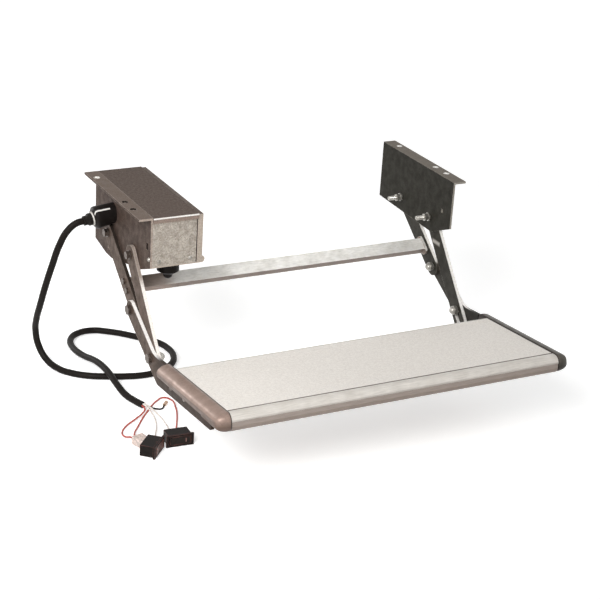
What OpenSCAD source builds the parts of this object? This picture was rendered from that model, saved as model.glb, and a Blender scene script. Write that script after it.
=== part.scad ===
/* [Brackets] */
// Clear distance between the two bracket plates
bracket_gap = 484; // [440:1:560]
// Thickness of the bracket plates
plate_t = 3; // [2:0.5:4]
// Length of each bracket from back to front
bracket_len = 210; // [200:1:240]
// Width of the mounting flange beside the plate
flange_w = 18; // [15:0.5:26]
// Distance of the mounting holes from the plate's outer face
hole_inset = 9.5; // [8:0.5:11]
// Diameter of the mounting holes
hole_d = 9; // [6:0.5:10]
// Place of the rear mounting holes from the back edge
hole_rear = 28; // [20:1:40]
// Place of the middle mounting holes from the back edge
hole_mid = 137; // [120:1:145]
// Place of the front mounting holes from the back edge
hole_front = 168; // [160:1:180]
// Depth of both plates at the front edge
front_depth = 74; // [68:1:78]
// Depth of the right plate at the back edge
right_rear_depth = 90; // [88:1:100]
// Depth of the right plate at its lowest corner
right_low_depth = 96; // [94:1:104]
// Depth of the left plate at the back edge
left_rear_depth = 104; // [98:1:106]
// Depth of the left plate at its lowest corner
left_low_depth = 112; // [108:1:114]

/* [Linkage] */
// Rear arm pivot, forward of the back edge
p1_v = 64; // [62:1:66]
// Rear arm pivot, below the mounting face
p1_w = 72; // [70:1:74]
// Front arm pivot, forward of the back edge
p2_v = 149; // [146:1:152]
// Front arm pivot, below the mounting face
p2_w = 75; // [73:1:77]
// Knee pivot, forward of the back edge
j1_v = 167; // [164:1:169]
// Knee pivot, below the mounting face
j1_w = 151; // [149:1:154]
// Toe pivot, forward of the back edge
t1_v = 244; // [242:1:247]
// Toe pivot, below the mounting face
t1_w = 193; // [190:1:195]
// Width of the arms
arm_w = 28; // [24:1:30]
// Thickness of the arms
arm_t = 5; // [4:0.5:6]
// Width of the upright of the side plates
upright_w = 26; // [22:1:28]
// Thickness of the side plates
side_t = 5; // [4:0.5:6]
// Diameter of the bolts at the bracket pivots
pivot_d = 6; // [5:0.5:9]
// Diameter of the bolts at the knee and the toe
knee_d = 8; // [6:0.5:9]
// Running gap between arms, plates and side plates
side_gap = 0.5; // [0.3:0.1:0.8]
// Radial running clearance of the pivots
run_clear = 0.05; // [0.02:0.01:0.09]
// Travel of the toe bolt in the slot of the front arm
slot_travel = 18.5; // [17:0.5:22]
// Play of the toe bolt across that slot
slot_play = 2.4; // [2.2:0.1:3]
// Width of the crossbar tube, along the arm
bar_w = 20; // [16:1:24]
// Depth of the crossbar tube, across the arm
bar_h = 12; // [10:1:14]
// Wall of the crossbar tube
bar_wall = 2; // [1:0.5:3]
// Distance of the crossbar from the rear arm pivot
bar_reach = 91; // [90:0.5:93]
// Diameter of the crossbar bolts
bar_bolt_d = 5; // [4:0.5:6]

/* [Tread] */
// Depth of the tread from its front groove to its back edge
tread_depth = 165; // [150:1:175]
// Height of the tread board
tread_h = 25; // [22:1:30]
// How far the nose stands in front of the groove
nose_out = 15; // [13:1:18]
// Wall of the tread board
board_wall = 3; // [2:0.5:4]
// Thickness of the grip panel on the tread
grip_t = 1; // [0.6:0.2:1.6]
// Width of the groove behind the nose
groove_w = 2; // [1:0.5:3]
// Place of the groove forward of the back edge of the brackets
groove_v = 483; // [480:1:495]
// Place of the groove below the mounting face
groove_z = 162; // [160:1:165]
// Angle by which the nose of the tread stands up
tread_pitch = 5; // [4:0.5:6]
// Width of the end caps
cap_w = 20; // [17:1:24]
// Gap between the end caps and the uprights behind them
cap_gap = 2; // [1:0.5:10]
// Top edge of the side plate's foot below the tread face
foot_top = 15; // [12:0.5:16]
// Bottom edge of the side plate's foot below the tread face
foot_bottom = 41; // [38:1:44]
// Front end of the foot behind the groove
foot_front = 38; // [26:1:44]
// Diameter of the side screws
screw_d = 5; // [4:0.5:6]

/* [Drive] */
// Width of the motor housing inside the left bracket
housing_w = 75; // [70:1:84]
// Sheet thickness of the motor housing
sheet = 1.5; // [1:0.25:2]
// Tooth size of the gears
gear_module = 2; // [1.8:0.1:2.1]
// Teeth of the gear on the rear arm
gear_teeth = 27; // [25:1:27]
// Teeth of the pinion on the motor
pinion_teeth = 18; // [16:1:18]
// Width of both gears
gear_width = 10; // [8:1:11]
// Angle of the pinion above the rear arm pivot
pinion_angle = 60; // [56:1:64]
// Outer diameter of the hub that carries the gear
hub_d = 20; // [17:1:22]
// Diameter of the motor
motor_d = 44; // [38:1:46]
// Clear space between the motor and the front panel
motor_clear = 20; // [8:1:36]
// Height of the rubber stop buffer
buffer_h = 20; // [18:1:24]
// Diameter of the rubber stop buffer
buffer_d = 32; // [26:1:38]
// Diameter of the cable boot
boot_d = 30; // [26:1:30]
// Length of the cable boot
boot_len = 32; // [26:1:38]
// Angle by which the cable boot hangs down
boot_tilt = 10; // [0:1:12]
// Diameter of the cable
cable_d = 10; // [8:0.5:11]
// Diameter of the single wires
wire_d = 2.5; // [2:0.25:3]

/* [Switches] */
// Length of the switch bezel
bezel_l = 40; // [36:1:44]
// Width of the switch bezel
bezel_w = 18; // [16:1:20]
// Thickness of the switch bezel
bezel_t = 3; // [2:0.5:4]
// Depth of the switch body behind the bezel
switch_depth = 20; // [17:1:26]
// Gap round the rocker
rocker_gap = 0.5; // [0.3:0.1:0.8]

/* [Hidden] */
$fn = 48;
facet = 32;
eps = 0.01;

steel = "#6e625c";
dark_steel = "#3e3c36";
bright = "#cdcdc6";

// Places in the side plane are [y, z]: y runs to the back, z up.
// The origin is the middle of the four outer mounting holes, on the mounting face.
rear_y = (hole_rear + hole_front) / 2;
function side(v, w) = [rear_y - v, -w];
p1 = side(p1_v, p1_w);
p2 = side(p2_v, p2_w);
j1 = side(j1_v, j1_w);
t1 = side(t1_v, t1_w);
groove = side(groove_v, groove_z);

// Layers from the middle to the outside
plate_in = bracket_gap / 2;
plate_out = plate_in + plate_t;
arm_in = plate_out + side_gap;
arm_out = arm_in + arm_t;
side_in = arm_out + side_gap;
side_out = side_in + side_t;
hole_x = plate_out + hole_inset;

// A point of the tread: a behind the groove, b above the tread face
function on_tread(a, b) = groove + [a * cos(tread_pitch) + b * sin(tread_pitch),
                                    -a * sin(tread_pitch) + b * cos(tread_pitch)];
function to_tread(p) = let (d = p - groove)
    [d[0] * cos(tread_pitch) - d[1] * sin(tread_pitch), d[0] * sin(tread_pitch) + d[1] * cos(tread_pitch)];
function unit(a) = a / norm(a);
function across(d) = [-d[1], d[0]];
function polar(r, a) = r * [cos(a), sin(a)];
function arc(c, r, a0, a1, n) = [for (i = [0:n]) c + polar(r, a0 + (a1 - a0) * i / n)];
function stadium(p, q, w) = let (a = atan2(q[1] - p[1], q[0] - p[0]))
    concat(arc(p, w / 2, a + 90, a + 270, 16), arc(q, w / 2, a - 90, a + 90, 16));
// The arc of radius r in a corner c between the directions u and v
function turned(p, a) = [p[0] * cos(a) - p[1] * sin(a), p[0] * sin(a) + p[1] * cos(a)];
function rounded(c, u, v, r, n) = let (
    h = acos(u * v) / 2,
    m = c + unit(u + v) * r / sin(h),
    s = c + u * r / tan(h) - m,
    way = u[0] * v[1] - u[1] * v[0] > 0 ? -1 : 1)
    [for (i = [0:n]) m + turned(s, way * (180 - 2 * h) * i / n)];

// Lower corners of the plates: the front corners are set back and down from the front edge
left_corner = [32, 13];
left_flat = [66, 45];
right_corner = 50;
left_outline = [side(0, 0), side(bracket_len, 0), side(bracket_len, front_depth),
                side(bracket_len - left_corner[0], front_depth + left_corner[1]),
                side(left_flat[0], left_low_depth), side(left_flat[1], left_low_depth),
                side(0, left_rear_depth)];
right_outline = [side(0, 0), side(bracket_len, 0), side(bracket_len, front_depth),
                 side(bracket_len - right_corner, right_low_depth), side(0, right_rear_depth)];

// Draws a shape of the side plane from x to x + t
module slab(x, t) {
    translate([x, 0, 0])
        rotate([90, 0, 90])
            linear_extrude(t)
                children();
}
// A round rod along x
module rod(x, len, p, d) {
    translate([x, p[0], p[1]])
        rotate([0, 90, 0])
            cylinder(h = len, d = d);
}
module hex_rod(x, len, p, across_flats) {
    translate([x, p[0], p[1]])
        rotate([0, 90, 0])
            cylinder(h = len, d = across_flats / cos(30), $fn = 6);
}
module bar_shape(p, q, w) {
    polygon(stadium(p, q, w));
}
module hole_at(p, d) {
    translate(p)
        circle(d = d);
}
module tread_frame() {
    translate([0, groove[0], groove[1]])
        rotate([-tread_pitch, 0, 0])
            children();
}
module both_sides() {
    children();
    mirror([1, 0, 0])
        children();
}

// Brackets: an angle of plate and flange
left_slot = [6, 10];
left_slot_at = side(bracket_len - 12, 50);
right_slot = [4, 6];
right_slot_at = side(bracket_len - 25, 56);
module flange_holes() {
    for (v = [hole_rear, hole_mid, hole_front])
        translate([hole_x, rear_y - v, -plate_t - 1])
            cylinder(h = plate_t + 2, d = hole_d);
}
module bracket(outline, bore, slot, slot_at) {
    difference() {
        union() {
            slab(plate_in, plate_t)
                polygon(outline);
            translate([plate_in, rear_y - bracket_len, -plate_t])
                cube([plate_t + flange_w, bracket_len, plate_t]);
        }
        flange_holes();
        rod(plate_in - 1, plate_t + 2, p1, bore);
        rod(plate_in - 1, plate_t + 2, p2, pivot_d);
        translate([plate_in - 1, slot_at[0] - slot[0] / 2, slot_at[1]])
            cube([plate_t + 2, slot[0], slot[1]]);
    }
}
boot_place = side(p1_v + 6, p1_w - 32);
low_holes = [side(p1_v - 10, left_low_depth - 12), side(p1_v + 8, left_low_depth - 9)];
rivet_at = side(bracket_len - 5, front_depth - 12);
module left_bracket() {
    color(steel)
        difference() {
            mirror([1, 0, 0])
                bracket(left_outline, hub_d + 2 * run_clear, left_slot, left_slot_at);
            for (p = low_holes)
                rod(-plate_out - 1, plate_t + 2, p, 6);
        }
}
module bracket_rivet() {
    color("#d8d4cc")
        translate([-plate_out, rivet_at[0], rivet_at[1]])
            rotate([0, -90, 0])
                cylinder(h = 2, d1 = 6, d2 = 4);
}
module right_bracket() {
    color(dark_steel)
        bracket(right_outline, pivot_d, right_slot, right_slot_at);
}

// Motor housing on the inner side of the left bracket
case_x = -plate_in;
case_end = case_x + housing_w;
return_w = 8;
slit = 1.6;
lid_lip = 8;
ledge = 7;
lid_w = housing_w - ledge;
tab_r = 5;
drop = [0, sheet * 1.3];
case_low = [for (i = [2:6]) left_outline[i]];
module housing_case() {
    color(steel)
        union() {
            slab(case_end - sheet, sheet)
                polygon([side(0, sheet), side(bracket_len - sheet, sheet), for (p = case_low) p]);
            slab(case_x, housing_w - sheet / 2)
                polygon([for (p = case_low) p, for (i = [len(case_low) - 1:-1:0]) case_low[i] + drop]);
            slab(case_x, housing_w - sheet / 2)
                polygon([side(0, sheet), side(sheet, sheet),
                         side(sheet, left_rear_depth), side(0, left_rear_depth)]);
            translate([case_end - return_w, rear_y - bracket_len, -front_depth])
                cube([return_w, sheet, front_depth - sheet]);
            translate([case_end - 2 * ledge, rear_y - bracket_len + sheet, -2 * sheet])
                cube([2 * ledge, bracket_len - sheet, sheet]);
            translate([case_end - 1, rear_y - bracket_len, tab_r - front_depth])
                rotate([-90, 0, 0])
                    cylinder(h = sheet, r = tab_r);
        }
}
front_w = housing_w - return_w - slit;
module housing_front() {
    color("#b9b2a8")
        difference() {
            translate([case_x, rear_y - bracket_len, -front_depth + drop[1]])
                cube([front_w, sheet, front_depth - drop[1] - sheet]);
            for (x = [case_x + 10, case_x + front_w - 8])
                translate([x, rear_y - bracket_len - 1, -front_depth + 9])
                    rotate([-90, 0, 0])
                        cylinder(h = sheet + 2, d = 3);
        }
}
module housing_lid() {
    color("#645c58")
        union() {
            translate([case_x, rear_y - bracket_len, -sheet])
                cube([lid_w, bracket_len, sheet]);
            translate([case_x, rear_y - bracket_len - sheet, -lid_lip])
                cube([lid_w, sheet, lid_lip]);
        }
}
module housing_screws() {
    color("#d8d4cc")
        for (x = [case_x + 10, case_x + front_w - 8])
            translate([x, rear_y - bracket_len, -front_depth + 9])
                rotate([90, 0, 0])
                    union() {
                        cylinder(h = 1.6, d1 = 6, d2 = 4);
                        translate([0, 0, -6])
                            cylinder(h = 6 + eps, d = 3);
                    }
}

// Geared motor in the housing
pinion_at = p1 + gear_module * (gear_teeth + pinion_teeth) / 2 * [-cos(pinion_angle), sin(pinion_angle)];
gear_x = case_x + 2;
box_x = gear_x + gear_width + 2;
box_half = 24;
box_t = case_end - sheet - box_x;
box_rear = pinion_at[0] + 16;
box_front = pinion_at[0] - box_half;
shaft_d = 8;
motor_x = box_x + box_t / 2;
motor_z = -sheet - 2 - motor_d / 2;
motor_len = box_front - rear_y + bracket_len - sheet - motor_clear;
module gearbox() {
    color("#8d8a84")
        difference() {
            translate([box_x, box_front, motor_z - box_half])
                cube([box_t, box_rear - box_front, 2 * box_half - 3]);
            rod(box_x - 1, 18, pinion_at, shaft_d + 2 * run_clear);
        }
}
module motor() {
    color("#555a5e")
        translate([motor_x, box_front, motor_z])
            rotate([90, 0, 0])
                union() {
                    cylinder(h = motor_len - 8, d = motor_d);
                    cylinder(h = motor_len, d = motor_d / 2);
                }
}
clamp_w = 16;
clamp_y = box_front - motor_len * 0.6;
module motor_clamp() {
    color("#9a968e")
        difference() {
            translate([motor_x - motor_d / 2 - 2, clamp_y, motor_z - motor_d / 2 - 2])
                cube([case_end - sheet - motor_x + motor_d / 2 + 2, clamp_w, motor_d + 4 - sheet]);
            translate([motor_x, clamp_y + clamp_w + 1, motor_z])
                rotate([90, 0, 0])
                    cylinder(h = clamp_w + 2, d = motor_d);
        }
}

// Spur gears: each flank is an involute of the base circle
pressure = 20;
backlash = 0.25;
function involute(rb, t) = rb * [cos(t) + t * PI / 180 * sin(t), sin(t) - t * PI / 180 * cos(t)];
function roll_at(rb, r) = sqrt(max(pow(r / rb, 2) - 1, 0)) * 180 / PI;
function inv_angle(t) = t - atan(t * PI / 180);
function tooth(z, i) = let (
    r = gear_module * z / 2,
    rb = r * cos(pressure),
    ra = r + gear_module * 0.9,
    half = 90 / z - backlash / 2 / r * 180 / PI + inv_angle(roll_at(rb, r)),
    t_end = roll_at(rb, ra),
    flank = [for (k = [0:4]) turned(involute(rb, t_end * k / 4), -half)])
    [turned([r - gear_module * 1.25, 0], 360 / z * i - half),
     for (p = flank) turned(p, 360 / z * i),
     for (k = [4:-1:0]) turned([flank[k][0], -flank[k][1]], 360 / z * i),
     turned([r - gear_module * 1.25, 0], 360 / z * i + half)];
function gear_outline(z) = [for (i = [0:z - 1]) for (p = tooth(z, i)) p];
mesh_angle = 180 - pinion_angle;
module drive_gear() {
    color("#a8a296")
        difference() {
            union() {
                slab(gear_x, gear_width)
                    translate(p1)
                        rotate(mesh_angle)
                            polygon(gear_outline(gear_teeth));
                rod(-arm_in, gear_x + arm_in, p1, hub_d);
            }
            rod(-arm_in - 1, plate_t + 20, p1, pivot_d + 2 * run_clear);
        }
}
module drive_pinion() {
    color("#a8a296")
        union() {
            slab(gear_x, gear_width)
                translate(pinion_at)
                    rotate(mesh_angle + 180 + 180 / pinion_teeth)
                        polygon(gear_outline(pinion_teeth));
            rod(gear_x + gear_width - eps, 16, pinion_at, shaft_d);
        }
}

// Pivot bolts of the brackets: heads outside, nuts and long threads inside
head_t = 6;
nut_t = 6;
washer_t = 2;
thread_out = 21.5;
bolt_x = arm_out + side_gap;
nut_face_left = gear_x + gear_width + side_gap;
module pivot_bolts() {
    color("#b8b2a6")
        union() {
            both_sides()
                for (p = [p1, p2])
                    union() {
                        hex_rod(bolt_x + eps, head_t, p, pivot_d * 1.7);
                        rod(bolt_x, head_t / 4, p, pivot_d * 2.2);
                        rod(plate_in - thread_out, bolt_x + eps - plate_in + thread_out, p, pivot_d);
                    }
        }
}
module nut(x, p, t) {
    difference() {
        union() {
            hex_rod(x, t, p, pivot_d * 1.7);
            rod(x + t - eps, washer_t + eps, p, pivot_d * 2.1);
        }
        rod(x - 1, t + washer_t + 2, p, pivot_d);
    }
}
module pivot_nuts() {
    color("#c4beb2")
        union() {
            for (p = [p1, p2])
                nut(plate_in - washer_t - nut_t, p, nut_t);
            mirror([1, 0, 0])
                nut(plate_in - washer_t - nut_t, p2, nut_t);
            mirror([1, 0, 0])
                nut(-nut_face_left - washer_t - nut_t, p1, nut_t);
        }
}

// Rubber stop under the housing
buffer_in = [44, 43];
buffer_v = bracket_len - buffer_in[0];
buffer_x = case_x + buffer_in[1];
slope = (left_low_depth - front_depth - left_corner[1]) / (bracket_len - left_corner[0] - left_flat[0]);
buffer_seat = front_depth + left_corner[1] + slope * (buffer_in[0] - left_corner[0]);
module stop_buffer() {
    color("#2c2a28")
        intersection() {
            translate([buffer_x, rear_y - buffer_v, -buffer_seat - buffer_h])
                rotate_extrude()
                    polygon([[0, 0], [4, 0], [6, 2], [7, 6], [buffer_d / 2, 12],
                             [buffer_d / 2, buffer_h + 20], [0, buffer_h + 20]]);
            slab(case_x, housing_w)
                polygon([for (p = case_low) p - [0, 80], for (i = [len(case_low) - 1:-1:0]) case_low[i]]);
        }
}

// Cable entry on the outer face of the left bracket
boot_base = [-plate_out, boot_place[0], boot_place[1]];
boot_way = [-cos(boot_tilt), 0, -sin(boot_tilt)];
module along_boot() {
    translate(boot_base)
        rotate([0, -90 - boot_tilt, 0])
            rotate_extrude()
                children();
}
module cable_boot() {
    r = boot_d / 2;
    color("#262422")
        intersection() {
            along_boot()
                polygon([[0, -6], [r, -6], [r, 2], [r + 1.5, boot_len - 6], [r + 1, boot_len - 3],
                         [r - 3, boot_len], [0, boot_len]]);
            translate(boot_base - [2 * boot_len, boot_d, boot_d])
                cube([2 * boot_len, 2 * boot_d, 2 * boot_d]);
        }
}
gland_len = 14;
module cable_gland() {
    color("#33302e")
        along_boot()
            translate([0, boot_len])
                polygon([[0, 0], [9, 0], [9, 7], [7, 9], [7, gland_len], [0, gland_len]]);
}

// Cords: each route is a list of points laid by hand
cable_exit = boot_base + boot_way * (boot_len + gland_len);
cable_route = [
    cable_exit, cable_exit + boot_way * 10,
    [-313.5, 29, -60], [-325, 32.5, -83], [-332.5, 40, -114], [-338, 52.5, -149],
    [-341, 69, -187], [-340, 88.5, -217], [-336.5, 104, -243], [-332.5, 104, -267.5], [-325, 90, -287],
    [-314, 66.5, -294.5], [-301, 46.5, -295], [-280, 28.5, -295], [-256, 17, -295],
    [-228, 7, -295], [-200, 2, -295], [-173, 7, -295], [-150, 22, -295], [-135, 46, -295],
    [-131, 78, -295], [-140, 108, -295], [-163, 137, -295], [-195, 168, -295], [-219, 181, -295],
    [-244, 177, -295], [-261, 159, -295], [-267.5, 134, -294.5], [-268, 110, -293],
    [-265, 84, -290], [-261, 58, -285], [-258, 30, -283], [-257, 2, -284], [-256, -26, -289],
    [-253, -50, -294], [-247, -73, -295], [-241, -90, -295]];
red_link_route = [
    [-286.5, -185.8, -291], [-288.7, -177.8, -292.5], [-284, -163, -296.5], [-270, -142, -298.5],
    [-252, -118, -298.5], [-240, -104, -298.5], [-228, -90, -298.5], [-214, -77, -298.5],
    [-202, -71, -298.5], [-194, -80, -298.5], [-197, -106, -298.5], [-206, -132, -298.5],
    [-217, -156, -298], [-224.5, -174, -295], [-224.8, -184.1, -292], [-225.1, -192.1, -291]];
red_route = [
    [-243.5, -92, -294.5], [-243, -101, -295], [-252, -113, -295.5], [-268, -124, -297],
    [-285, -135, -298.5], [-298, -152, -298.5], [-300.5, -170, -295.5], [-296.6, -179.3, -292.3],
    [-294.2, -187.8, -291]];
white_route = [
    [-242, -91.5, -292], [-239, -101, -294], [-237.5, -120, -298], [-242, -140, -298.5],
    [-250, -160, -298], [-259, -178, -295.5], [-266.8, -194.1, -292.3], [-271.8, -200.1, -291]];
white_link_route = [
    [-239, -90.5, -292], [-236.5, -100, -292.5], [-232, -112, -296], [-229.5, -130, -298.5],
    [-231.5, -152, -298], [-235.5, -171, -295], [-237.9, -183.2, -292.2], [-237.6, -191.2, -291]];
spare_route = [
    [-237.5, -90, -294.5], [-233, -98, -295.5], [-226, -104, -297], [-217, -103, -298.5],
    [-211, -96, -298]];
function ring(c, d, n, r) = let (s = unit(cross(d, [0, 0.05, 1])), u = cross(s, d))
    [for (k = [0:n - 1]) c + r * (cos(360 * k / n) * s + sin(360 * k / n) * u)];
function heading(pts, i) = unit(pts[min(i + 1, len(pts) - 1)] - pts[max(i - 1, 0)]);
module cord(pts, d, n) {
    m = len(pts);
    rings = [for (i = [0:m - 1]) each ring(pts[i], heading(pts, i), n, d / 2)];
    sides = [for (i = [0:m - 2]) for (k = [0:n - 1]) let (a = i * n + k, b = i * n + (k + 1) % n)
        each [[a, b, b + n], [a, b + n, a + n]]];
    ends = [for (k = [1:n - 2]) each [[0, k + 1, k], [(m - 1) * n, (m - 1) * n + k, (m - 1) * n + k + 1]]];
    polyhedron(points = rings, faces = concat(sides, ends));
}
module supply_cable() {
    color("#2d2a26")
        cord(cable_route, cable_d, 10);
}
module red_link_wire() {
    color("#be5a50")
        cord(red_link_route, wire_d, 8);
}
module red_wire() {
    color("#be5a50")
        cord(red_route, wire_d, 8);
}
module white_wire() {
    color("#e8e2da")
        cord(white_route, wire_d, 8);
}
module white_link_wire() {
    color("#e8e2da")
        cord(white_link_route, wire_d, 8);
}
module spare_wire() {
    color("#2d2a26")
        cord(spare_route, wire_d, 8);
}
terminal_d = 5;
module wire_terminal() {
    color("#d2b49a")
        translate([-210.5, -95.5, floor_z + terminal_d / 2])
            rotate([0, 90, 49])
                cylinder(h = 10, d = terminal_d);
}

// Switches on the end of the cable: local x along the bezel, local y out of the face
floor_z = cable_route[len(cable_route) - 1][2] - cable_d / 2;
left_switch = [-274, -222, floor_z + bezel_w / 2];
left_turn = 48;
right_switch = [-237, -212, floor_z + bezel_w / 2];
right_turn = -4;
body_l = bezel_l - 6;
body_w = bezel_w - 2;
rocker_l = bezel_l - 8;
rocker_w = bezel_w - 6;
axle_d = 3;
axle_in = 2;
module placed(at, angle) {
    translate(at)
        rotate([0, 0, angle])
            children();
}
module switch_body() {
    difference() {
        union() {
            translate([-bezel_l / 2, -bezel_t, -bezel_w / 2])
                cube([bezel_l, bezel_t, bezel_w]);
            translate([-body_l / 2, -eps, -body_w / 2])
                cube([body_l, switch_depth, body_w]);
        }
        translate([-rocker_l / 2, -bezel_t - 1, -rocker_w / 2])
            cube([rocker_l, bezel_t + 1 + 9, rocker_w]);
        translate([0, axle_in, -rocker_w / 2 - 1.5])
            cylinder(h = rocker_w + 3, d = axle_d + 2 * run_clear);
    }
}
module switch_rocker() {
    l = rocker_l / 2 - rocker_gap - 0.5;
    w = rocker_w - 2 * rocker_gap;
    union() {
        translate([0, 0, -w / 2])
            linear_extrude(w)
                polygon([[-l, -bezel_t - 1], [0, -bezel_t + 0.6], [l, -bezel_t - 1],
                         [l - 1.5, 2], [4, 4.5], [-4, 4.5], [-l + 1.5, 2]]);
        translate([0, axle_in, -rocker_w / 2 - 1.2])
            cylinder(h = rocker_w + 2.4, d = axle_d);
    }
}
module left_switch_body() {
    color("#322e2c")
        placed(left_switch, left_turn)
            switch_body();
}
module right_switch_body() {
    color("#322e2c")
        placed(right_switch, right_turn)
            switch_body();
}
module left_switch_rocker() {
    color("#a07876")
        placed(left_switch, left_turn)
            switch_rocker();
}
module right_switch_rocker() {
    color("#a07876")
        placed(right_switch, right_turn)
            switch_rocker();
}
shell_l = 18;
shell_w = 18;
shell_h = 12;
shell_bend = 33;
shell_at = 5;
module connector_shell() {
    way = [sin(shell_bend), cos(shell_bend)];
    far = [shell_at, switch_depth] + way * shell_l;
    half = [way[1], -way[0]] * shell_w / 2;
    color("#d9d2c6")
        placed(left_switch, left_turn)
            translate([0, 0, -shell_h / 2])
                linear_extrude(shell_h)
                    polygon([[shell_at - shell_w / 2, switch_depth], [shell_at + shell_w / 2, switch_depth],
                             far + half, far - half]);
}
// Rear arms with the crossbar
bar_dir = unit(j1 - p1);
bar_up = across(bar_dir);
bar_at = p1 + bar_dir * bar_reach;
bolt_in = 2;
bolt_pitch = bar_w - 2 * bolt_in;
bar_tab_w = 15;
bolt_places = [bar_at - bar_dir * bolt_pitch / 2, bar_at + bar_dir * bolt_pitch / 2];
module rear_arm(bore) {
    slab(arm_in, arm_t)
        difference() {
            bar_shape(p1, j1, arm_w);
            hole_at(p1, bore);
            hole_at(j1, knee_d + 2 * run_clear);
            for (p = bolt_places)
                hole_at(p, bar_bolt_d);
        }
}
module left_rear_arm() {
    color(steel)
        mirror([1, 0, 0])
            rear_arm(pivot_d + 2 * run_clear);
}
module right_rear_arm() {
    color(dark_steel)
        rear_arm(pivot_d + 2 * run_clear);
}
foot_t = 3;
function bar_section(w, h) = [for (s = [[-w, -h], [w, -h], [w, h], [-w, h]])
    bar_at + s[0] * bar_dir + s[1] * bar_up];
module crossbar() {
    color(bright)
        union() {
            slab(-arm_in + foot_t - eps, 2 * (arm_in - foot_t + eps))
                difference() {
                    polygon(bar_section(bar_w / 2, bar_h / 2));
                    polygon(bar_section(bar_w / 2 - bar_wall, bar_h / 2 - bar_wall));
                }
            both_sides()
                slab(arm_in - foot_t, foot_t)
                    difference() {
                        bar_shape(bolt_places[0], bolt_places[1], bar_tab_w);
                        for (p = bolt_places)
                            hole_at(p, bar_bolt_d);
                    }
        }
}
module crossbar_bolts() {
    color("#bcb6aa")
        both_sides()
            for (p = bolt_places)
                union() {
                    rod(arm_in - foot_t, arm_t + foot_t + eps, p, bar_bolt_d);
                    rod(arm_out, 3, p, bar_bolt_d * 1.8);
                }
}

// Front arms with the slot for the toe bolt
toe_dir = unit(t1 - p2);
arm_end = t1 + toe_dir * slot_travel;
slot_w = knee_d + 2 * slot_play;
module front_arm() {
    slab(arm_in, arm_t)
        difference() {
            bar_shape(p2, arm_end, arm_w);
            hole_at(p2, pivot_d + 2 * run_clear);
            bar_shape(t1, arm_end, slot_w);
        }
}
module left_front_arm() {
    color(steel)
        mirror([1, 0, 0])
            front_arm();
}
module right_front_arm() {
    color(dark_steel)
        front_arm();
}

// Side plates: an upright from the knee to the toe and a foot along the tread's end
up_dir = unit(j1 - t1);
up_front = across(up_dir) * upright_w / 2;
fore = unit(on_tread(-1, 0) - on_tread(0, 0));
above = unit(on_tread(0, 1) - on_tread(0, 0));
screw_a = [tread_depth - 57, tread_depth - 13];
screw_b = -foot_top - 5;
screw_places = [for (a = screw_a) on_tread(a, screw_b)];
fillet_r = 40;
shelf = 2;
heel_r = 14;
// Where the line from p along d crosses the height b of the tread
function crossing(p, d, b) = p + d * (b - to_tread(p)[1]) / (to_tread(p + d)[1] - to_tread(p)[1]);
heel = crossing(t1 - up_front, up_dir, -foot_bottom);
corner = crossing(t1 + up_front, up_dir, -shelf);
up_angle = atan2(up_dir[1], up_dir[0]);
toe_r = 4;
// The end caps stop in front of the shelf that the uprights rise from
cap_over = 22;
shelf_end = to_tread(corner)[0] - fillet_r / tan(acos(up_dir * fore) / 2);
cap_len = min(tread_depth + cap_over, floor(shelf_end - 2 * cap_gap));
side_outline = concat(arc(j1, upright_w / 2, up_angle + 90, up_angle - 90, 16),
                      rounded(heel, up_dir, fore, heel_r, 6),
                      rounded(on_tread(foot_front, -foot_bottom), -fore, above, toe_r, 8),
                      rounded(on_tread(foot_front, -foot_top), -above, -fore, toe_r, 8),
                      [on_tread(cap_len + cap_gap, -foot_top), on_tread(cap_len + cap_gap, -shelf)],
                      rounded(corner, fore, up_dir, fillet_r, 8));
module side_shape() {
    difference() {
        polygon(side_outline);
        hole_at(j1, knee_d);
        hole_at(t1, knee_d);
        for (p = screw_places)
            hole_at(p, screw_d);
    }
}
module left_side_plate() {
    color(steel)
        slab(-side_out, side_t)
            side_shape();
}
module right_side_plate() {
    color(dark_steel)
        slab(side_in, side_t)
            side_shape();
}

// Tread board: a hollow extrusion with a round nose, closed off by the side plates
nose_r = 10;
seat = grip_t;
lip = 3;
grip_in = 0.5;
groove_deep = 1.8;
board_top = [[tread_depth, 0], [tread_depth - lip, 0], [tread_depth - lip, -seat],
             [groove_w, -seat], [groove_w, -groove_deep], [0, -groove_deep], [0, 0]];
nose = concat(arc([nose_r - nose_out, -nose_r], nose_r, 90, 180, 8), [[1 - nose_out, -nose_r - 1]],
              arc([8 - nose_out + 1, 8 - tread_h], 8, 180, 270, 6));
rib_a = [36, 72];
module board_shape() {
    w = board_wall;
    difference() {
        union() {
            difference() {
                polygon(concat(board_top, nose, [[tread_depth, -tread_h]]));
                polygon(concat([[tread_depth - w, -seat - w], [w, -seat - w]],
                               arc([nose_r - nose_out + 1, -nose_r], nose_r - w, 100, 180, 6),
                               [[8 - nose_out, w - tread_h + 3], [11 - nose_out, w - tread_h],
                                [tread_depth - w, w - tread_h]]));
            }
            for (a = rib_a)
                translate([a - w / 2, -tread_h + eps])
                    square([w, tread_h - seat - 2 * eps]);
            for (a = screw_a)
                translate([a - 5, -tread_h + eps])
                    square([10, tread_h + screw_b + 5]);
        }
        for (a = screw_a)
            translate([a, screw_b])
                circle(d = screw_d);
    }
}
module tread_board() {
    color(bright)
        tread_frame()
            slab(-side_in, 2 * side_in)
                board_shape();
}
module grip_panel() {
    color("#d7d2cb")
        tread_frame()
            translate([grip_in - side_in, groove_w, -seat])
                cube([2 * (side_in - grip_in), tread_depth - lip - groove_w, grip_t]);
}

// End caps: rounded mouldings over the ends of the board and the feet
cap_r = 11;
cap_low_r = 9;
cap_soft = 17;
cap_tail = 5;
cap_root = 3;
cap_drop = tread_h - 0.5;
cap_rear_h = 2 * cap_r;
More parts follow.
